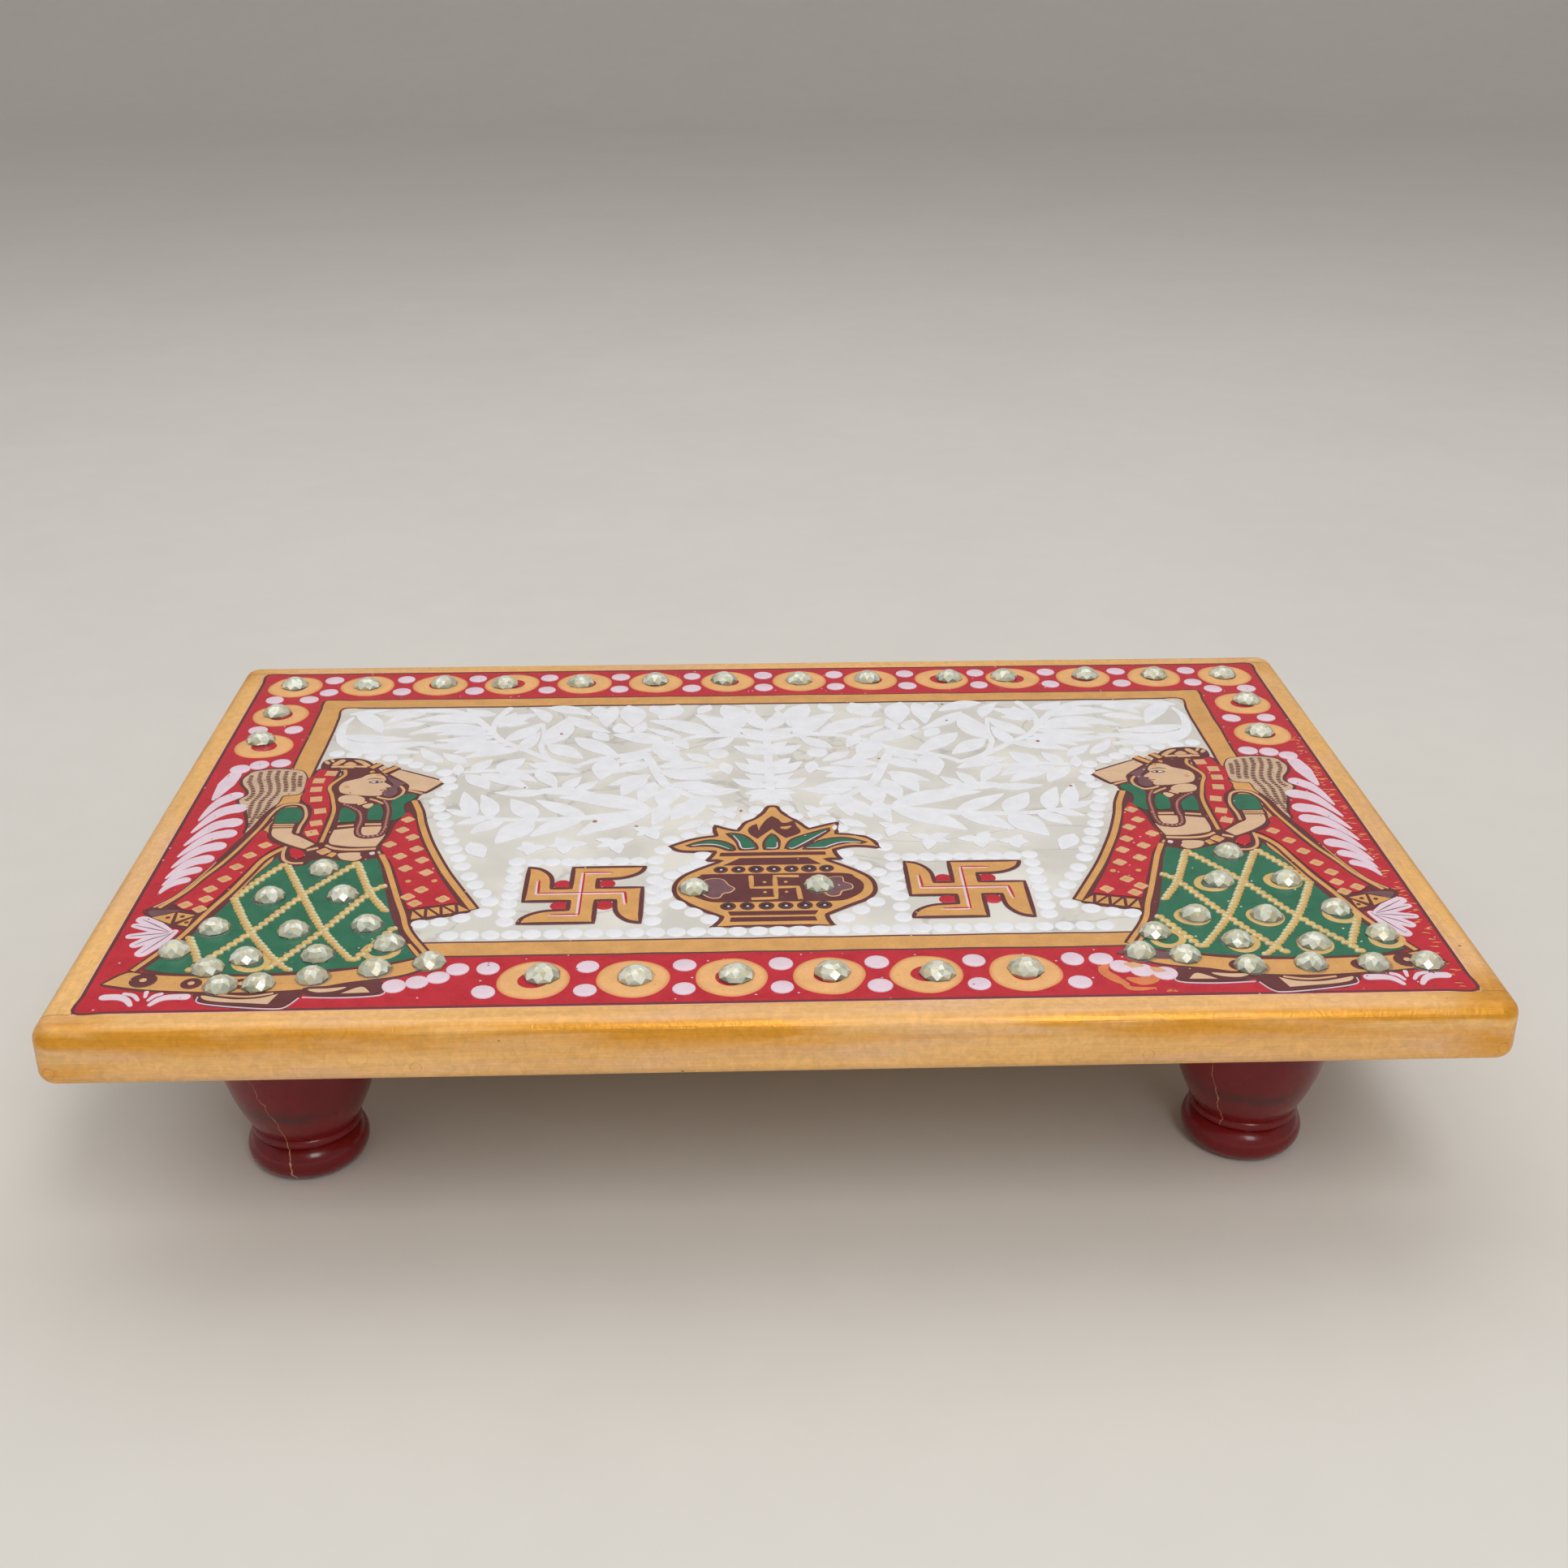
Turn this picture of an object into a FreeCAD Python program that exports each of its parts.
import FreeCAD
import Part
import Sketcher
import math
import os

# A low ceremonial table: a marble slab on a wooden panel, framed by four
# wooden edge strips, carried on four turned legs and set with glass stones.
# X runs along the length, Y from the front to the back, Z up from the floor.

# Driving dimensions in millimetres
SIZES = {
    "board_length": 304.8,
    "board_width": 203.2,
    "board_thick": 13.2,
    "slab_thick": 6.0,
    "strip_width": 7.0,
    "corner_radius": 4.5,
    "top_round": 3.2,
    "bottom_round": 2.8,
    "leg_height": 46.8,
    "leg_end_inset": 43.0,
    "leg_side_inset": 43.0,
    "foot_radius": 13.8,
    "foot_height": 9.4,
    "groove_radius": 11.5,
    "groove_drop": 0.8,
    "bead_radius": 12.5,
    "bead_height": 2.4,
    "neck_radius": 12.0,
    "bowl_radius": 18.2,
    "bowl_height": 31.0,
    "bowl_curve": 48.0,
    "shoulder_radius": 14.6,
    "shoulder_gap": 0.8,
    "shoulder_curve": 11.0,
    "collar_radius": 16.2,
    "collar_thick": 5.2,
    "collar_round": 1.2,
    "screw_length": 24.0,
    "screw_shank": 3.2,
    "screw_head": 6.4,
    "screw_point": 3.0,
    "screw_slot_width": 0.8,
    "screw_slot_depth": 0.7,
    "brad_length": 18.0,
    "brad_shank": 1.4,
    "brad_head": 2.2,
    "brad_head_thick": 0.6,
    "brad_point": 1.6,
    "long_side_brad_spacing": 150.0,
    "short_side_brad_spacing": 100.0,
    "hole_clearance": 0.05,
    "hole_end_clearance": 0.5,
    "border_width": 21.0,
    "ring_stone": 8.0,
    "small_stone": 7.2,
    "stone_height": 2.6,
    "stone_girdle": 0.5,
}

BACK_RING_COUNT = 14
FRONT_RING_COUNT = 6
SIDE_RING_COUNT = 2
STONE_SIDES = 12
TABLE_SHARE = 0.42
TABLE_TURN_SHARE = 0.5
NEAR_SHARE = 0.001
RIGHT_ANGLE = 90
FULL_ANGLE = 360

# How a sketch numbers the ends of a line, a centre, and its own axes
START_INDEX = 1
END_INDEX = 2
CENTRE_INDEX = 3
LEVEL_INDEX = -1
UPRIGHT_INDEX = -2

# How far each glued stone sits from its ring's middle, as shares of the pitch
BACK_STONE_SHIFT_SHARES = [
    (-0.02, 0.04), (-0.01, 0.00), (0.05, 0.03), (-0.10, -0.01), (-0.05, 0.00),
    (-0.01, 0.05), (-0.05, 0.05), (0.00, 0.01), (-0.04, 0.03), (0.11, 0.03),
    (-0.12, 0.04), (0.04, 0.07), (0.01, 0.05), (-0.02, 0.04),
]
FRONT_STONE_SHIFT_SHARES = [
    (0.07, 0.09), (0.02, 0.03), (0.04, 0.03), (0.02, 0.06), (0.09, 0.01), (0.00, 0.06),
]
LEFT_STONE_SHIFT_SHARES = [(-0.06, 0.04), (-0.08, 0.12)]
RIGHT_STONE_SHIFT_SHARES = [(0.08, 0.07), (-0.03, -0.03)]

# Places of the other stones, as shares of half the board's length and width
POT_STONE_SHARES = [(-0.123, -0.438), (0.065, -0.430)]
LEFT_DANCER_STONE_SHARES = [
    (-0.692, -0.315), (-0.756, -0.445), (-0.648, -0.443), (-0.816, -0.587),
    (-0.700, -0.604), (-0.597, -0.583), (-0.856, -0.684), (-0.751, -0.718),
    (-0.652, -0.713), (-0.556, -0.670), (-0.797, -0.762), (-0.768, -0.834),
    (-0.718, -0.828), (-0.648, -0.803), (-0.566, -0.774), (-0.491, -0.751),
]
RIGHT_DANCER_STONE_SHARES = [
    (0.709, -0.297), (0.672, -0.437), (0.774, -0.439), (0.612, -0.596),
    (0.715, -0.602), (0.823, -0.578), (0.541, -0.672), (0.654, -0.713),
    (0.763, -0.728), (0.866, -0.694), (0.508, -0.756), (0.570, -0.773),
    (0.654, -0.820), (0.741, -0.814), (0.828, -0.820), (0.904, -0.817),
]

doc = FreeCAD.newDocument("low_table")
sheet = doc.addObject("Spreadsheet::Sheet", "Sizes")
for row, (alias, value) in enumerate(SIZES.items(), start=1):
    sheet.set(f"A{row}", alias)
    sheet.set(f"B{row}", str(value))
    sheet.setAlias(f"B{row}", alias)
doc.recompute()


def size(expression):
    """The value that an expression on the sheet has."""
    return float(sheet.evalExpression(expression))


def bind(obj, **expressions):
    """Tie properties of an object to expressions on the sheet."""
    for name, expression in expressions.items():
        obj.setExpression(name.replace("__", "."), expression)


def place(obj, along="0", across="0", up="0"):
    """Tie the place of an object to expressions on the sheet."""
    bind(obj, Placement__Base__x=along, Placement__Base__y=across, Placement__Base__z=up)


# Values that several pieces share, as expressions on the sheet
HALF_LENGTH = "Sizes.board_length / 2"
HALF_WIDTH = "Sizes.board_width / 2"
PANEL_THICK = "(Sizes.board_thick - Sizes.slab_thick)"
INNER_LENGTH = "(Sizes.board_length - 2 * Sizes.strip_width)"
INNER_WIDTH = "(Sizes.board_width - 2 * Sizes.strip_width)"
BOARD_TOP = "(Sizes.leg_height + Sizes.board_thick)"
LEG_ALONG = "(Sizes.board_length / 2 - Sizes.leg_end_inset)"
LEG_ACROSS = "(Sizes.board_width / 2 - Sizes.leg_side_inset)"
BRAD_UP = f"(Sizes.leg_height + {PANEL_THICK} / 2)"


# Bodies and sketches
def new_body(label):
    body = doc.addObject("PartDesign::Body", label)
    body.Label = label
    return body


def origin_plane(body, role):
    for feature in body.Origin.OriginFeatures:
        if feature.Role == role:
            return feature
    raise ValueError(role)


def new_sketch(body, name, role):
    sketch = body.newObject("Sketcher::SketchObject", name)
    sketch.AttachmentSupport = [(origin_plane(body, role), "")]
    sketch.MapMode = "FlatFace"
    return sketch


def hold_point(sketch, geometry, end, across, up):
    """Hold a sketch point at two expressions measured from the origin."""
    for kind, axis, expression in (("DistanceX", UPRIGHT_INDEX, across), ("DistanceY", LEVEL_INDEX, up)):
        if expression == "0":
            sketch.addConstraint(Sketcher.Constraint("PointOnObject", geometry, end, axis))
            continue
        held = Sketcher.Constraint(kind, LEVEL_INDEX, START_INDEX, geometry, end, size(expression))
        number = sketch.addConstraint(held)
        sketch.setExpression(f"Constraints[{number}]", expression)


def rectangle(sketch, length, width):
    """A rectangle about the origin whose sides follow two expressions."""
    reach = size(length) / 2
    depth = size(width) / 2
    corners = [(-reach, -depth), (reach, -depth), (reach, depth), (-reach, depth)]
    points = [FreeCAD.Vector(across, up, 0) for across, up in corners]
    for start, end in zip(points, points[1:] + points[:1]):
        sketch.addGeometry(Part.LineSegment(start, end), False)
    for line, kind in enumerate(("Horizontal", "Vertical", "Horizontal", "Vertical")):
        following = (line + 1) % len(corners)
        sketch.addConstraint(Sketcher.Constraint("Coincident", line, END_INDEX, following, START_INDEX))
        sketch.addConstraint(Sketcher.Constraint(kind, line))
    middle = Sketcher.Constraint("Symmetric", 0, START_INDEX, 1, END_INDEX, LEVEL_INDEX, START_INDEX)
    sketch.addConstraint(middle)
    for line, kind, expression in ((0, "DistanceX", length), (1, "DistanceY", width)):
        held = Sketcher.Constraint(kind, line, START_INDEX, line, END_INDEX, size(expression))
        number = sketch.addConstraint(held)
        sketch.setExpression(f"Constraints[{number}]", expression)


def slab_body(label, length, width, thick):
    """A body that is a plain slab."""
    body = new_body(label)
    sketch = new_sketch(body, label + "_plan", "XY_Plane")
    rectangle(sketch, length, width)
    pad = body.newObject("PartDesign::Pad", label + "_pad")
    pad.Profile = sketch
    bind(pad, Length=thick)
    doc.recompute()
    return body


def round_edges(body, name, wanted, radius):
    """Round the edges of a body that a test picks."""
    base = body.Tip
    edges = [f"Edge{n}" for n, edge in enumerate(base.Shape.Edges, start=1) if wanted(edge)]
    fillet = body.newObject("PartDesign::Fillet", name)
    fillet.Base = (base, edges)
    bind(fillet, Radius=radius)
    doc.recompute()


def check_cut(body, volume_before):
    """Stop if the last cut in a body took nothing away."""
    if not body.Tip.Shape.Volume < volume_before:
        raise ValueError(body.Label + " is not cut")


# Nail and screw holes, and what fills them
def named(kind, name):
    obj = doc.addObject(kind, name)
    obj.Label = name
    return obj


def turned(obj, axis):
    """Point an upright primitive along one of the directions X, -X, Y and -Y."""
    turns = {
        "X": (FreeCAD.Vector(0, 1, 0), RIGHT_ANGLE),
        "-X": (FreeCAD.Vector(0, 1, 0), -RIGHT_ANGLE),
        "Y": (FreeCAD.Vector(1, 0, 0), -RIGHT_ANGLE),
        "-Y": (FreeCAD.Vector(1, 0, 0), RIGHT_ANGLE),
    }
    obj.Placement = FreeCAD.Placement(FreeCAD.Vector(0, 0, 0), FreeCAD.Rotation(*turns[axis]))


def brad_sites():
    """Where each brad's head lies, and which way the brad points."""
    corner_along = f"{HALF_LENGTH} - Sizes.strip_width / 2"
    middle_along = "Sizes.long_side_brad_spacing / 2"
    middle_across = "Sizes.short_side_brad_spacing / 2"
    sites = []
    for side, direction in (("-", "Y"), ("", "-Y")):
        for along in (corner_along, middle_along):
            for hand in ("-", ""):
                sites.append((f"{hand}({along})", f"{side}({HALF_WIDTH})", direction))
    for side, direction in (("-", "X"), ("", "-X")):
        for hand in ("-", ""):
            sites.append((f"{side}({HALF_LENGTH})", f"{hand}({middle_across})", direction))
    return sites


def stepped(site, depth):
    """A brad site moved along its direction by an expression."""
    along, across, direction = site
    sign = "-" if direction.startswith("-") else "+"
    if direction.endswith("X"):
        return f"{along} {sign} ({depth})", across
    return along, f"{across} {sign} ({depth})"


def brad_part(name, kind, site, depth, sizes):
    obj = named(kind, name)
    bind(obj, **sizes)
    turned(obj, site[2])
    along, across = stepped(site, depth)
    place(obj, along, across, BRAD_UP)
    return obj


def joined(kind, name, pieces):
    obj = named(kind, name)
    if kind == "Part::Compound":
        obj.Links = pieces
    else:
        obj.Shapes = pieces
    return obj


def brad_holes():
    """One compound of the holes that the brads need."""
    holes = []
    for number, site in enumerate(brad_sites(), start=1):
        shank = {
            "Radius": "Sizes.brad_shank / 2 + Sizes.hole_clearance",
            "Height": "Sizes.brad_length + Sizes.hole_end_clearance",
        }
        seat = {
            "Radius": "Sizes.brad_head / 2 + Sizes.hole_clearance",
            "Height": "Sizes.brad_head_thick",
        }
        pieces = [
            brad_part(f"brad_shank_hole_{number}", "Part::Cylinder", site, "0", shank),
            brad_part(f"brad_head_seat_{number}", "Part::Cylinder", site, "0", seat),
        ]
        holes.append(joined("Part::MultiFuse", f"brad_hole_{number}", pieces))
    return joined("Part::Compound", "brad_holes", holes)


def strip_brads():
    """The small nails that hold the edge strips."""
    brads = []
    shank_length = "Sizes.brad_length - Sizes.brad_head_thick - Sizes.brad_point"
    for number, site in enumerate(brad_sites(), start=1):
        head = {"Radius": "Sizes.brad_head / 2", "Height": "Sizes.brad_head_thick"}
        shank = {"Radius": "Sizes.brad_shank / 2", "Height": shank_length}
        point = {"Radius1": "Sizes.brad_shank / 2", "Radius2": "0", "Height": "Sizes.brad_point"}
        point_depth = "Sizes.brad_length - Sizes.brad_point"
        pieces = [
            brad_part(f"brad_head_{number}", "Part::Cylinder", site, "0", head),
            brad_part(f"brad_shank_{number}", "Part::Cylinder", site, "Sizes.brad_head_thick", shank),
            brad_part(f"brad_point_{number}", "Part::Cone", site, point_depth, point),
        ]
        brads.append(joined("Part::MultiFuse", f"brad_{number}", pieces))
    return joined("Part::Compound", "strip_brads", brads)


def cut_by(name, body, tool):
    cut = named("Part::Cut", name)
    cut.Base = body
    cut.Tool = tool
    return cut


# Edge strips
def end_strip(label, side, holes):
    """The front or back strip, the full length of the board, rounded outside."""
    body = slab_body(label + "_body", "Sizes.board_length", "Sizes.strip_width", "Sizes.board_thick")
    outer = side * size("Sizes.strip_width") / 2
    thick = size("Sizes.board_thick")
    near = thick * NEAR_SHARE

    def is_outer_corner(edge):
        ends = [vertex.Point for vertex in edge.Vertexes]
        upright = abs(ends[0].z - ends[1].z) > near
        return upright and all(abs(end.y - outer) < near for end in ends)

    def is_outside_at(height):
        def wanted(edge):
            level = all(abs(vertex.Point.z - height) < near for vertex in edge.Vertexes)
            return level and (edge.CenterOfMass.y + outer) * side > near
        return wanted

    round_edges(body, label + "_corners", is_outer_corner, "Sizes.corner_radius")
    round_edges(body, label + "_top_edge", is_outside_at(thick), "Sizes.top_round")
    round_edges(body, label + "_bottom_edge", is_outside_at(0), "Sizes.bottom_round")
    sign = "" if side > 0 else "-"
    place(body, across=f"{sign}({HALF_WIDTH} - Sizes.strip_width / 2)", up="Sizes.leg_height")
    return cut_by(label, body, holes)


def side_strip(label, side, holes):
    """The left or right strip, butted between the front and back strips."""
    body = slab_body(label + "_body", "Sizes.strip_width", INNER_WIDTH, "Sizes.board_thick")
    outer = side * size("Sizes.strip_width") / 2
    thick = size("Sizes.board_thick")
    near = thick * NEAR_SHARE

    def is_outside_at(height):
        def wanted(edge):
            middle = edge.CenterOfMass
            return abs(middle.z - height) < near and abs(middle.x - outer) < near
        return wanted

    round_edges(body, label + "_top_edge", is_outside_at(thick), "Sizes.top_round")
    round_edges(body, label + "_bottom_edge", is_outside_at(0), "Sizes.bottom_round")
    sign = "" if side > 0 else "-"
    place(body, along=f"{sign}({HALF_LENGTH} - Sizes.strip_width / 2)", up="Sizes.leg_height")
    return cut_by(label, body, holes)


# Marble slab and the panel under it
def marble_slab():
    body = slab_body("marble_slab", INNER_LENGTH, INNER_WIDTH, "Sizes.slab_thick")
    place(body, up=f"{BOARD_TOP} - Sizes.slab_thick")
    return body


def leg_sites():
    for front, side in (("front", "-"), ("back", "")):
        for left, hand in (("left", "-"), ("right", "")):
            yield f"{front}_{left}", f"{hand}{LEG_ALONG}", f"{side}{LEG_ACROSS}"


def base_panel(holes):
    """The wooden panel, with countersunk holes for the leg screws."""
    body = slab_body("base_panel_body", INNER_LENGTH, INNER_WIDTH, PANEL_THICK)
    whole = body.Tip.Shape.Volume
    sketch = new_sketch(body, "screw_hole_centres", "XY_Plane")
    bind(sketch, AttachmentOffset__Base__z=PANEL_THICK)
    for number, (name, along, across) in enumerate(leg_sites()):
        centre = FreeCAD.Vector(size(along), size(across), 0)
        radius = size("Sizes.screw_shank") / 2
        sketch.addGeometry(Part.Circle(centre, FreeCAD.Vector(0, 0, 1), radius), False)
        constraint = sketch.addConstraint(Sketcher.Constraint("Diameter", number, 2 * radius))
        sketch.setExpression(f"Constraints[{constraint}]", "Sizes.screw_shank")
        hold_point(sketch, number, CENTRE_INDEX, along, across)
    doc.recompute()
    hole = body.newObject("PartDesign::Hole", "screw_holes")
    hole.Profile = sketch
    doc.recompute()
    hole.ThreadType = 0
    hole.DepthType = "ThroughAll"
    hole.HoleCutType = "Countersink"
    hole.HoleCutCustomValues = True
    hole.HoleCutCountersinkAngle = RIGHT_ANGLE
    bind(hole, Diameter="Sizes.screw_shank + 2 * Sizes.hole_clearance")
    bind(hole, HoleCutDiameter="Sizes.screw_head + 2 * Sizes.hole_clearance")
    doc.recompute()
    check_cut(body, whole)
    place(body, up="Sizes.leg_height")
    return cut_by("base_panel", body, holes)


# Turned legs
def leg_profile(sketch):
    """Half of the turned outline, from the foot's middle round to the top's."""
    groove = "(Sizes.foot_height - Sizes.groove_drop)"
    bead_middle = f"({groove} + Sizes.bead_height / 2)"
    bead_top = f"({groove} + Sizes.bead_height)"
    collar_foot = "(Sizes.leg_height - Sizes.collar_thick)"
    shoulder = f"({collar_foot} - Sizes.shoulder_gap)"
    ring = "(Sizes.foot_height / 2)"
    ring_middle = f"(Sizes.foot_radius - {ring})"
    points = [
        ("0", "0"),
        (ring_middle, "0"),
        ("Sizes.groove_radius", groove),
        ("Sizes.neck_radius", bead_top),
        ("Sizes.bowl_radius", "Sizes.bowl_height"),
        ("Sizes.shoulder_radius", shoulder),
        ("Sizes.shoulder_radius", collar_foot),
        ("Sizes.collar_radius", collar_foot),
        ("Sizes.collar_radius", "Sizes.leg_height"),
        ("0", "Sizes.leg_height"),
    ]
    bulges = {
        1: ("Sizes.foot_radius", ring),
        2: ("Sizes.bead_radius", bead_middle),
        3: ("Sizes.bowl_curve", None),
        4: ("Sizes.shoulder_curve", None),
    }
    flat = [FreeCAD.Vector(size(across), size(up), 0) for across, up in points]
    for number, start in enumerate(flat):
        end = flat[(number + 1) % len(flat)]
        if number not in bulges:
            sketch.addGeometry(Part.LineSegment(start, end), False)
            continue
        across, up = bulges[number]
        if up is None:
            middle = bulge_point(start, end, size(across))
        else:
            middle = FreeCAD.Vector(size(across), size(up), 0)
        sketch.addGeometry(Part.Arc(start, middle, end), False)
    ends = {}
    for number in range(len(points)):
        ends[number] = arc_ends(sketch.Geometry[number], flat[number])
    for number in range(len(points)):
        following = (number + 1) % len(points)
        sketch.addConstraint(Sketcher.Constraint(
            "Coincident", number, ends[number][1], following, ends[following][0]))
    for number, (across, up) in enumerate(points):
        hold_point(sketch, number, ends[number][0], across, up)
    for number, (radius, up) in bulges.items():
        value = sketch.Geometry[number].Radius
        constraint = sketch.addConstraint(Sketcher.Constraint("Radius", number, value))
        if up is None:
            sketch.setExpression(f"Constraints[{constraint}]", radius)
        else:
            expression = three_point_radius(points[number], (radius, up), points[number + 1])
            sketch.setExpression(f"Constraints[{constraint}]", expression)


def bulge_point(start, end, radius):
    """The middle of an arc of this radius that bulges away from the axis."""
    chord = end - start
    half = chord.Length / 2
    rise = radius - math.sqrt(radius * radius - half * half)
    outward = FreeCAD.Vector(chord.y, -chord.x, 0).normalize()
    return (start + end) / 2 + outward * rise


def arc_ends(geometry, start):
    """Which numbered end of a piece of a sketch lies at the start point."""
    is_start = (geometry.StartPoint - start).Length < size("Sizes.foot_height") * NEAR_SHARE
    return (START_INDEX, END_INDEX) if is_start else (END_INDEX, START_INDEX)


def three_point_radius(first, middle, last):
    """An expression for the radius of the circle through three points."""
    def side(one, other):
        return f"(({one[0]} - {other[0]}) ^ 2 + ({one[1]} - {other[1]}) ^ 2) ^ 0.5"

    area = (f"abs(({middle[0]} - {first[0]}) * ({last[1]} - {first[1]}) - "
            f"({last[0]} - {first[0]}) * ({middle[1]} - {first[1]}))")
    return f"{side(first, middle)} * {side(middle, last)} * {side(last, first)} / (2 * {area})"


def turned_leg(label, along, across):
    """A leg turned in one piece, bored from the top for its screw."""
    body = new_body(label)
    sketch = new_sketch(body, label + "_outline", "XZ_Plane")
    leg_profile(sketch)
    doc.recompute()
    turning = body.newObject("PartDesign::Revolution", label + "_turning")
    turning.Profile = sketch
    turning.ReferenceAxis = (sketch, ["V_Axis"])
    turning.Angle = FULL_ANGLE
    doc.recompute()
    rim = size("Sizes.collar_radius")

    def is_collar_rim(edge):
        closed = len(edge.Vertexes) == 1
        return closed and abs(edge.Curve.Radius - rim) < rim * NEAR_SHARE

    round_edges(body, label + "_collar_edges", is_collar_rim, "Sizes.collar_round")
    whole = body.Tip.Shape.Volume
    bore_plan = new_sketch(body, label + "_bore_plan", "XY_Plane")
    bind(bore_plan, AttachmentOffset__Base__z="Sizes.leg_height")
    bore = "Sizes.screw_shank + 2 * Sizes.hole_clearance"
    circle = Part.Circle(FreeCAD.Vector(0, 0, 0), FreeCAD.Vector(0, 0, 1), size(bore) / 2)
    bore_plan.addGeometry(circle, False)
    bore_plan.addConstraint(Sketcher.Constraint("Coincident", 0, CENTRE_INDEX, LEVEL_INDEX, START_INDEX))
    number = bore_plan.addConstraint(Sketcher.Constraint("Diameter", 0, size(bore)))
    bore_plan.setExpression(f"Constraints[{number}]", bore)
    pocket = body.newObject("PartDesign::Pocket", label + "_screw_bore")
    pocket.Profile = bore_plan
    bind(pocket, Length=f"Sizes.screw_length - {PANEL_THICK} + Sizes.hole_end_clearance")
    doc.recompute()
    check_cut(body, whole)
    place(body, along, across)
    return body


def leg_screws():
    """The slotted wood screws of the legs, whose heads are as steep as their countersinks."""
    head_height = "(Sizes.screw_head - Sizes.screw_shank) / 2"
    screws = []
    top = f"(Sizes.leg_height + {PANEL_THICK})"
    for name, along, across in leg_sites():
        head = named("Part::Cone", f"screw_head_{name}")
        bind(head, Radius1="Sizes.screw_shank / 2", Radius2="Sizes.screw_head / 2", Height=head_height)
        place(head, along, across, f"{top} - {head_height}")
        shank = named("Part::Cylinder", f"screw_shank_{name}")
        bind(shank, Radius="Sizes.screw_shank / 2")
        bind(shank, Height=f"Sizes.screw_length - {head_height} - Sizes.screw_point")
        place(shank, along, across, f"{top} - Sizes.screw_length + Sizes.screw_point")
        point = named("Part::Cone", f"screw_point_{name}")
        bind(point, Radius1="0", Radius2="Sizes.screw_shank / 2", Height="Sizes.screw_point")
        place(point, along, across, f"{top} - Sizes.screw_length")
        whole = joined("Part::MultiFuse", f"screw_blank_{name}", [head, shank, point])
        slot = named("Part::Box", f"screw_slot_{name}")
        bind(slot, Length="Sizes.screw_head", Width="Sizes.screw_slot_width", Height="Sizes.screw_slot_depth")
        place(slot, f"{along} - Sizes.screw_head / 2", f"{across} - Sizes.screw_slot_width / 2",
              f"{top} - Sizes.screw_slot_depth")
        screws.append(cut_by(f"screw_{name}", whole, slot))
    return joined("Part::Compound", "leg_screws", screws)


# Glass stones
def facet_ring(radius, height, turn):
    """The corners of a stone at one height."""
    corners = []
    for number in range(STONE_SIDES):
        angle = 2 * math.pi * (number + turn) / STONE_SIDES
        corners.append(FreeCAD.Vector(radius * math.cos(angle), radius * math.sin(angle), height))
    return corners


def facet(*corners):
    return Part.Face(Part.makePolygon(list(corners) + [corners[0]]))


def stone_shape(diameter):
    """A flat-backed stone: an upright girdle, a crown of facets and a flat table."""
    radius = size(diameter) / 2
    foot = facet_ring(radius, 0, 0)
    girdle = facet_ring(radius, size("Sizes.stone_girdle"), 0)
    table = facet_ring(radius * TABLE_SHARE, size("Sizes.stone_height"), TABLE_TURN_SHARE)
    faces = [facet(*reversed(foot)), facet(*table)]
    for number in range(STONE_SIDES):
        following = (number + 1) % STONE_SIDES
        faces.append(facet(foot[number], foot[following], girdle[following], girdle[number]))
        faces.append(facet(girdle[number], girdle[following], table[number]))
        faces.append(facet(girdle[following], table[following], table[number]))
    return Part.Solid(Part.Shell(faces))


def stone_group(label, diameter, places):
    """One node of like stones, all glued on the slab's top."""
    stone = stone_shape(diameter)
    group = doc.addObject("Part::Feature", label)
    group.Label = label
    group.Shape = Part.makeCompound([
        stone.translated(FreeCAD.Vector(along, across, 0)) for along, across in places
    ])
    place(group, up=BOARD_TOP)
    return group


def shifted(centres, shifts, pitch):
    """Ring middles moved by the shares that their stones are off."""
    return [(along + pitch * aside, across + pitch * away)
            for (along, across), (aside, away) in zip(centres, shifts)]


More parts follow.
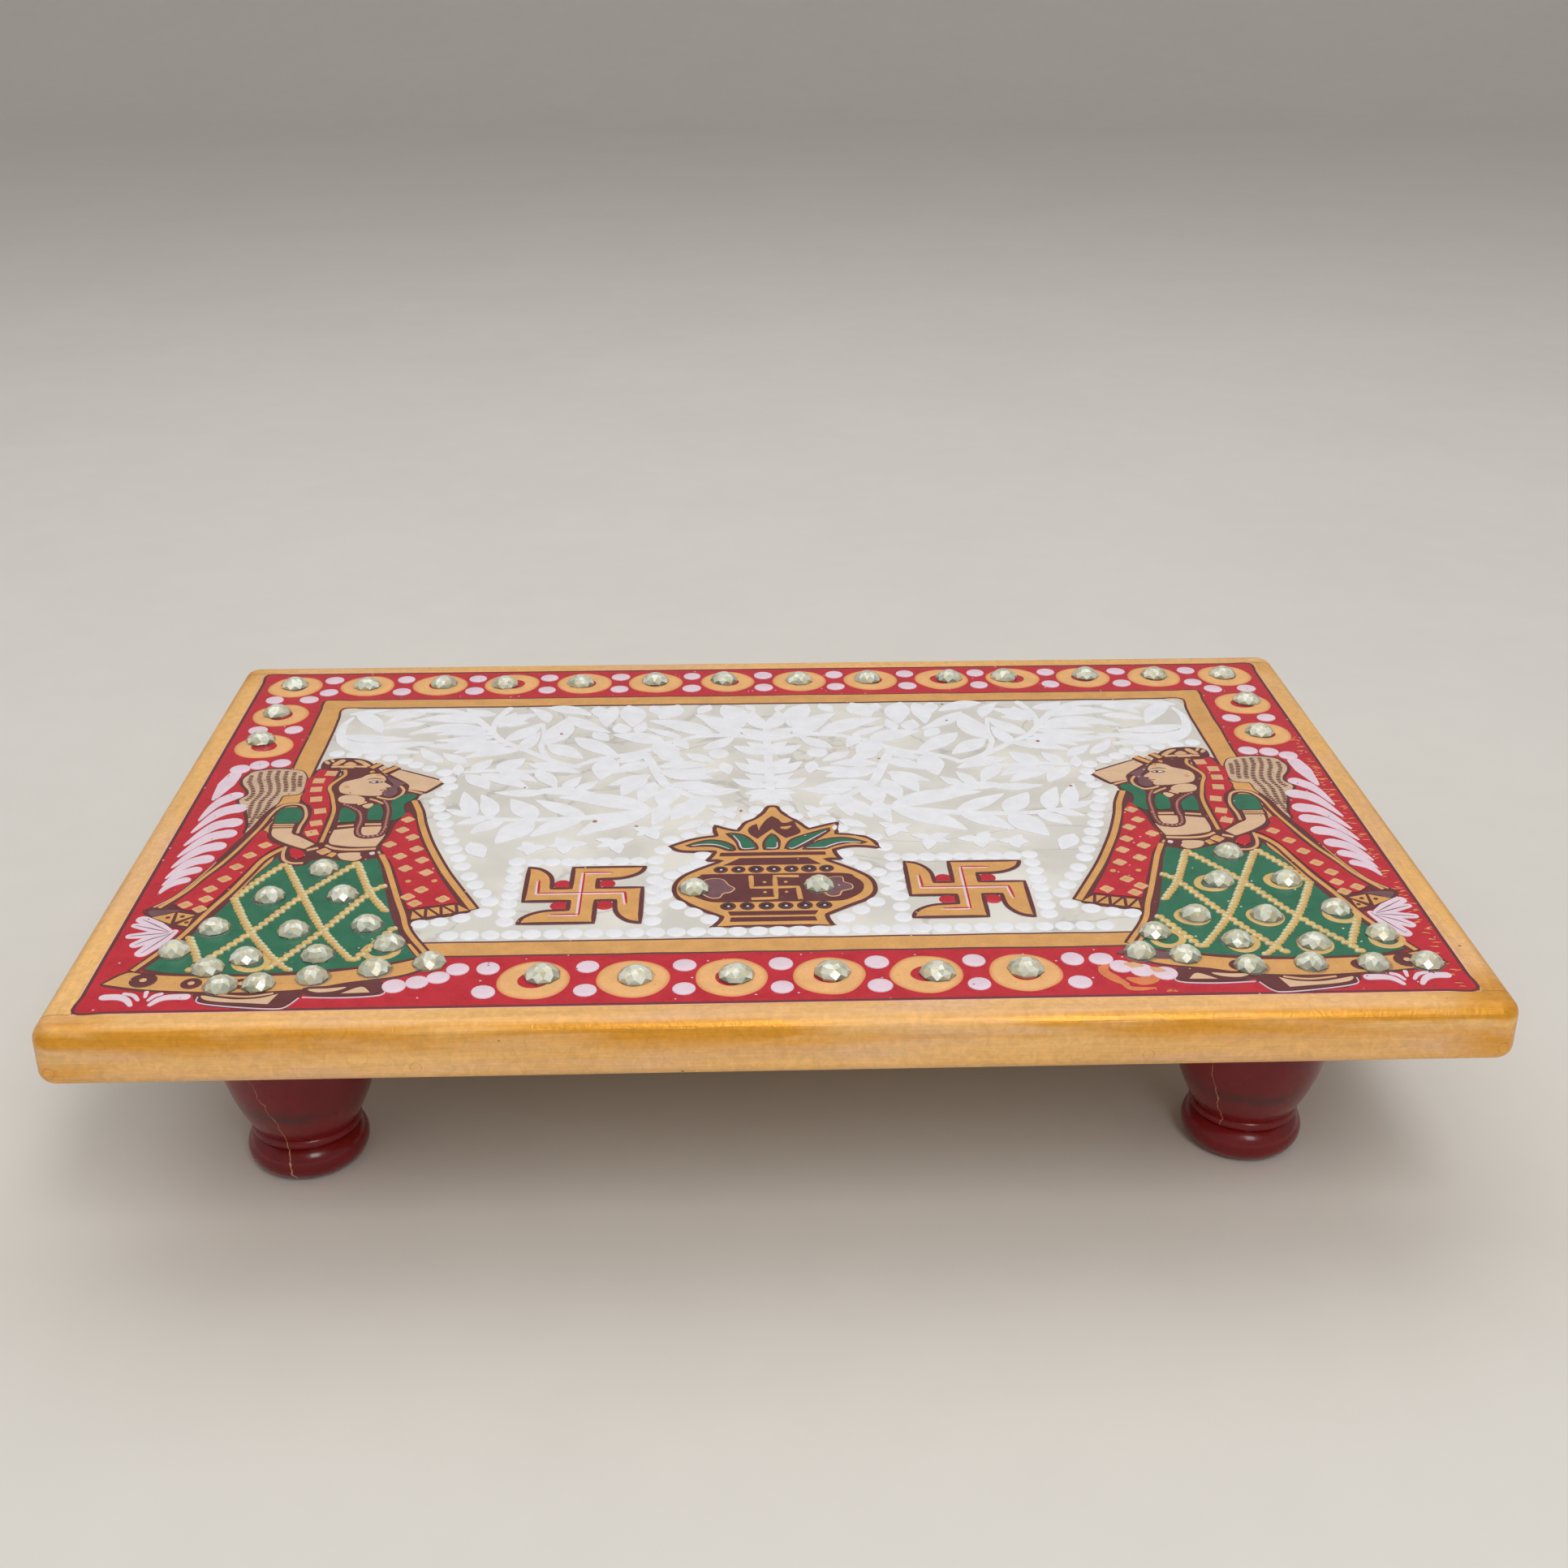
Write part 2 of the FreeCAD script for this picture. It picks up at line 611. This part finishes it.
def all_stones():
    row_along = size(f"{HALF_LENGTH} - Sizes.strip_width - Sizes.border_width / 2")
    row_across = size(f"{HALF_WIDTH} - Sizes.strip_width - Sizes.border_width / 2")
    pitch = 2 * row_along / (BACK_RING_COUNT - 1)
    back = [(number * pitch - row_along, row_across) for number in range(BACK_RING_COUNT)]
    front_start = -pitch * (FRONT_RING_COUNT - 1) / 2
    front = [(front_start + number * pitch, -row_across) for number in range(FRONT_RING_COUNT)]
    left = [(-row_along, row_across - number * pitch) for number in range(1, SIDE_RING_COUNT + 1)]
    right = [(-along, across) for along, across in left]
    for label, centres, shifts in (
        ("back_row_stones", back, BACK_STONE_SHIFT_SHARES),
        ("front_row_stones", front, FRONT_STONE_SHIFT_SHARES),
        ("left_side_stones", left, LEFT_STONE_SHIFT_SHARES),
        ("right_side_stones", right, RIGHT_STONE_SHIFT_SHARES),
    ):
        yield stone_group(label, "Sizes.ring_stone", shifted(centres, shifts, pitch))
    reach = size(HALF_LENGTH)
    depth = size(HALF_WIDTH)
    for label, shares in (
        ("pot_stones", POT_STONE_SHARES),
        ("left_dancer_stones", LEFT_DANCER_STONE_SHARES),
        ("right_dancer_stones", RIGHT_DANCER_STONE_SHARES),
    ):
        yield stone_group(label, "Sizes.small_stone", [(reach * x, depth * y) for x, y in shares])


# The whole table
holes = brad_holes()
nodes = [
    marble_slab(),
    base_panel(holes),
    end_strip("edge_strip_front", -1, holes),
    end_strip("edge_strip_back", 1, holes),
    side_strip("edge_strip_left", -1, holes),
    side_strip("edge_strip_right", 1, holes),
]
nodes += [turned_leg(f"leg_{name}", along, across) for name, along, across in leg_sites()]
nodes += [leg_screws(), strip_brads()]
nodes += list(all_stones())
doc.recompute()

for obj in doc.Objects:
    if "Invalid" in obj.State or "Error" in obj.State:
        raise RuntimeError(f"{obj.Label} failed: {obj.State}")
for node in nodes:
    if node.Shape.isNull() or not node.Shape.isValid() or not node.Shape.Solids:
        raise RuntimeError(f"{node.Label} has no valid shape")

os.makedirs("parts", exist_ok=True)
for node in nodes:
    node.Shape.exportStep(f"parts/{node.Label}.step")
    print(node.Label, len(node.Shape.Solids), round(node.Shape.Volume, 1))
